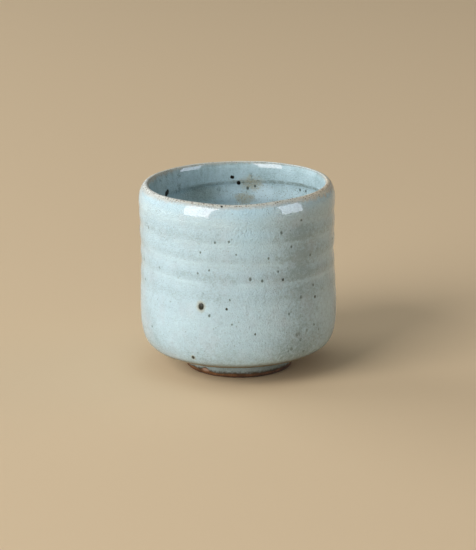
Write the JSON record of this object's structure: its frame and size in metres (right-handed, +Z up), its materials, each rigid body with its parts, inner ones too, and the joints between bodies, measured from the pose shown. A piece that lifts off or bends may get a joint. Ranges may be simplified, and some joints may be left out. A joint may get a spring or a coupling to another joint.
{
  "type": "tea bowl",
  "caption": "Hand-thrown stoneware tea bowl: upright ringed wall, full belly, rolled lip and turned foot ring, coated outside and inside in pale blue iron-speckled glaze.",
  "frame": {"origin": "on the table, under the middle of the bowl's box", "axes": "+Z up along the bowl's axis, -Y towards the viewer of the picture; the bowl leans just under a degree to -X"},
  "size_m": [0.0903, 0.09, 0.0861],
  "materials": {
    "stoneware": "matte fired clay",
    "foot_stoneware": "matte bare fired clay, turned",
    "outer_glaze": "glossy pale blue glaze with iron speckle",
    "inner_glaze": "glossy pale blue glaze with iron speckle"
  },
  "bodies": {
    "root": {"thrown_body": "stoneware", "foot_ring": "foot_stoneware", "outer_glaze": "outer_glaze", "inner_glaze": "inner_glaze"}
  },
  "joints": []
}
